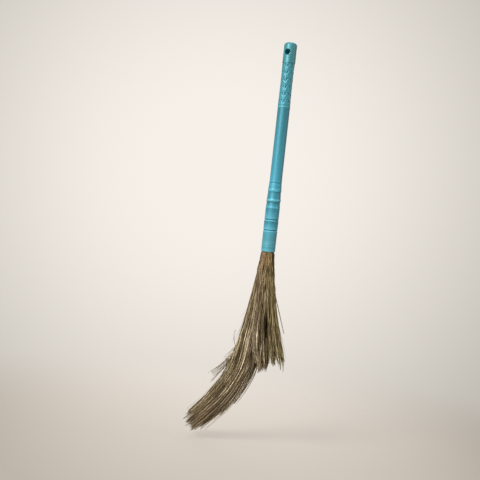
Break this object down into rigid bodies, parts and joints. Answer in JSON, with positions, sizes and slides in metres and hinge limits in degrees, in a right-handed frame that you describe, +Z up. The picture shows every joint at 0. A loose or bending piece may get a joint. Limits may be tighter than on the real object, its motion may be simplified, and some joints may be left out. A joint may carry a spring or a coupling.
{
  "type": "grass hand broom",
  "caption": "Hand broom with a tubular plastic handle, capped with a hang hole, whose ringed collar holds a fan of stiff grass hanks that flex at its mouth.",
  "frame": {"origin": "centre of the hang hole through the cap", "axes": "+Z up along the handle, the hang hole along Y, the grass a flat fan in the XZ plane whose long tail sweeps to -X"},
  "size_m": [0.2252, 0.073, 0.9165],
  "materials": {
    "handle_plastic": "satin moulded",
    "cap_plastic": "satin moulded",
    "grass": "dry split grass",
    "bamboo": "raw bamboo",
    "iron_wire": "annealed",
    "nail_steel": "bright wire nail"
  },
  "bodies": {
    "handle": {"hang_cap": "cap_plastic", "handle_tube": "handle_plastic", "core_peg": "bamboo", "stem_butts": "grass", "binding_wire_upper": "iron_wire", "binding_wire_lower": "iron_wire", "retaining_nails": "nail_steel"},
    "left_grass": {"hank_left_front": "grass", "hank_left_middle": "grass", "hank_left_back": "grass"},
    "centre_grass": {"hank_centre_left_front": "grass", "hank_centre_left_back": "grass", "hank_centre_right_front": "grass", "hank_centre_right_back": "grass"},
    "right_grass": {"hank_right_front": "grass", "hank_right_middle": "grass", "hank_right_back": "grass"}
  },
  "joints": [
    {"name": "left_flex", "type": "hinge", "parent": "handle", "child": "left_grass", "pos_m": [0, 0, -0.457], "axis": [1, 0, 0], "range_deg": [-15, 15], "stiffness_Nm_per_rad": 1},
    {"name": "centre_flex", "type": "hinge", "parent": "handle", "child": "centre_grass", "pos_m": [0, 0, -0.457], "axis": [1, 0, 0], "range_deg": [-15, 15], "stiffness_Nm_per_rad": 1.2},
    {"name": "right_flex", "type": "hinge", "parent": "handle", "child": "right_grass", "pos_m": [0, 0, -0.457], "axis": [1, 0, 0], "range_deg": [-15, 15], "stiffness_Nm_per_rad": 1}
  ]
}
